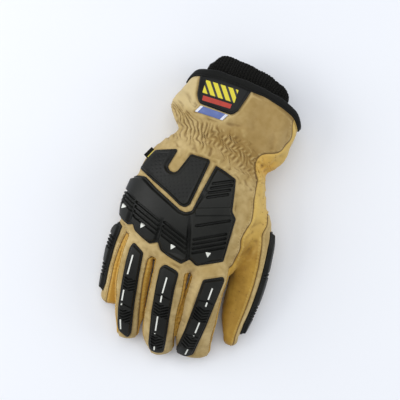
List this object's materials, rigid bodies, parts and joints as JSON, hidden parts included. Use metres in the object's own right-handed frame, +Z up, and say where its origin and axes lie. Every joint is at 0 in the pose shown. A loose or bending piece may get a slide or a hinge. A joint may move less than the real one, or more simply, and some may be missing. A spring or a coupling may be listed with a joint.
{
  "type": "work glove",
  "caption": "Right-hand leather and canvas work glove with a flared cuff, a knit wrist inside it and moulded impact guards over the knuckles, fingers and thumb.",
  "frame": {"origin": "middle of the bounding box at its bottom face, which is the plane the glove rests on", "axes": "+Z up out of the back of the hand, -Y along the fingers, +Y out of the cuff, +X to the thumb's side"},
  "size_m": [0.1642, 0.2975, 0.0736],
  "materials": {
    "canvas": "matt tan woven canvas",
    "leather": "soft golden grain leather",
    "fourchette_leather": "soft golden grain leather",
    "guard_rubber": "satin moulded thermoplastic rubber",
    "binding_tape": "black woven binding tape",
    "knit": "dark rib knit",
    "label_rubber": "satin moulded rubber",
    "woven_label": "woven blue label",
    "webbing": "dark woven webbing"
  },
  "bodies": {
    "root": {"back_canvas": "canvas", "palm_leather": "leather", "thumb_back": "canvas", "fourchette_index_middle": "fourchette_leather", "fourchette_middle_ring": "fourchette_leather", "fourchette_ring_little": "fourchette_leather", "cuff_binding": "binding_tape", "knit_cuff": "knit", "label_patch": "label_rubber", "woven_tag": "woven_label", "side_tag": "webbing", "knuckle_guard": "guard_rubber", "metacarpal_guard": "guard_rubber", "index_guard": "guard_rubber", "middle_guard": "guard_rubber", "ring_guard": "guard_rubber", "little_guard": "guard_rubber", "thumb_guard": "guard_rubber"}
  },
  "joints": []
}
